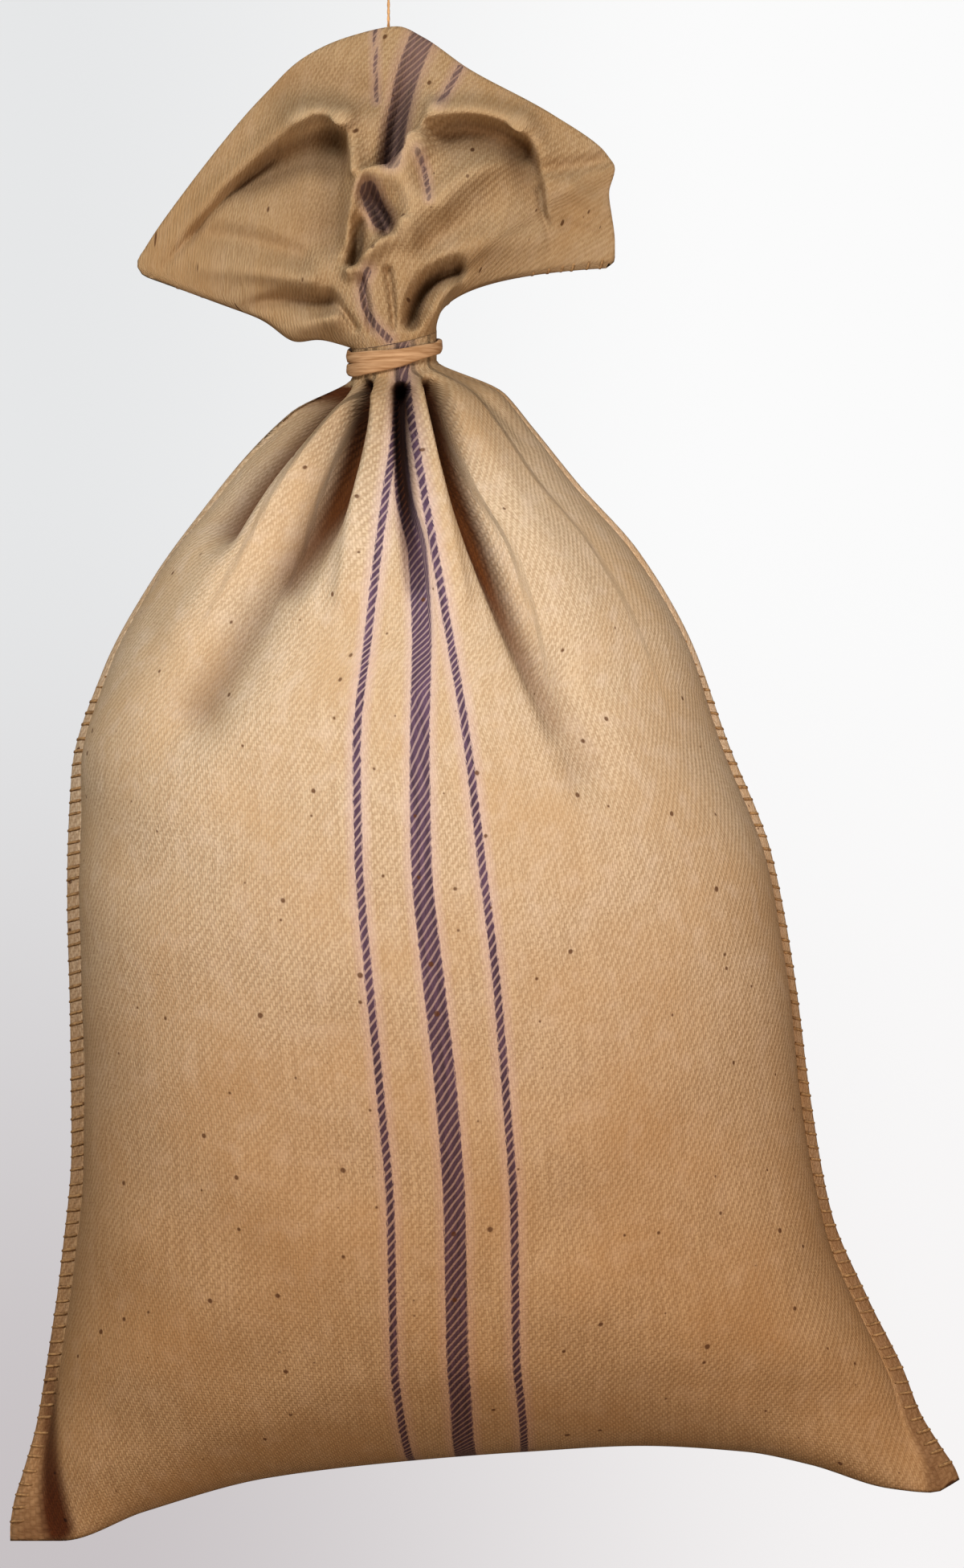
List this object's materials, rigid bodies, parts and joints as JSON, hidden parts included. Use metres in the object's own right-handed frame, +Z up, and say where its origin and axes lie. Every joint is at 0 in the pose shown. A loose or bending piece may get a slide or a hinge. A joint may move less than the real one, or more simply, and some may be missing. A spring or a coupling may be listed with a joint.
{
  "type": "filled jute sack with tied neck and hanging string",
  "caption": "Plump filled jute twill sack with two ears, gathered and tied at the neck, its hemmed mouth fanned out above the tie and hung by a thin looped string.",
  "frame": {"origin": "the inside top of the string's loop, where the sack is held up", "axes": "+X to the right as seen from the front, -Y towards the front with the deeper gathers, +Z up"},
  "size_m": [0.65, 0.3256, 1.076],
  "materials": {
    "jute_twill": "coarse twill, matt",
    "jute_strand": "flat twisted strand, matt",
    "tan_twine": "thin twisted twine, matt"
  },
  "bodies": {
    "root": {"sack": "jute_twill", "neck_tie": "jute_strand", "hang_string": "tan_twine", "string_loop": "tan_twine"}
  },
  "joints": []
}
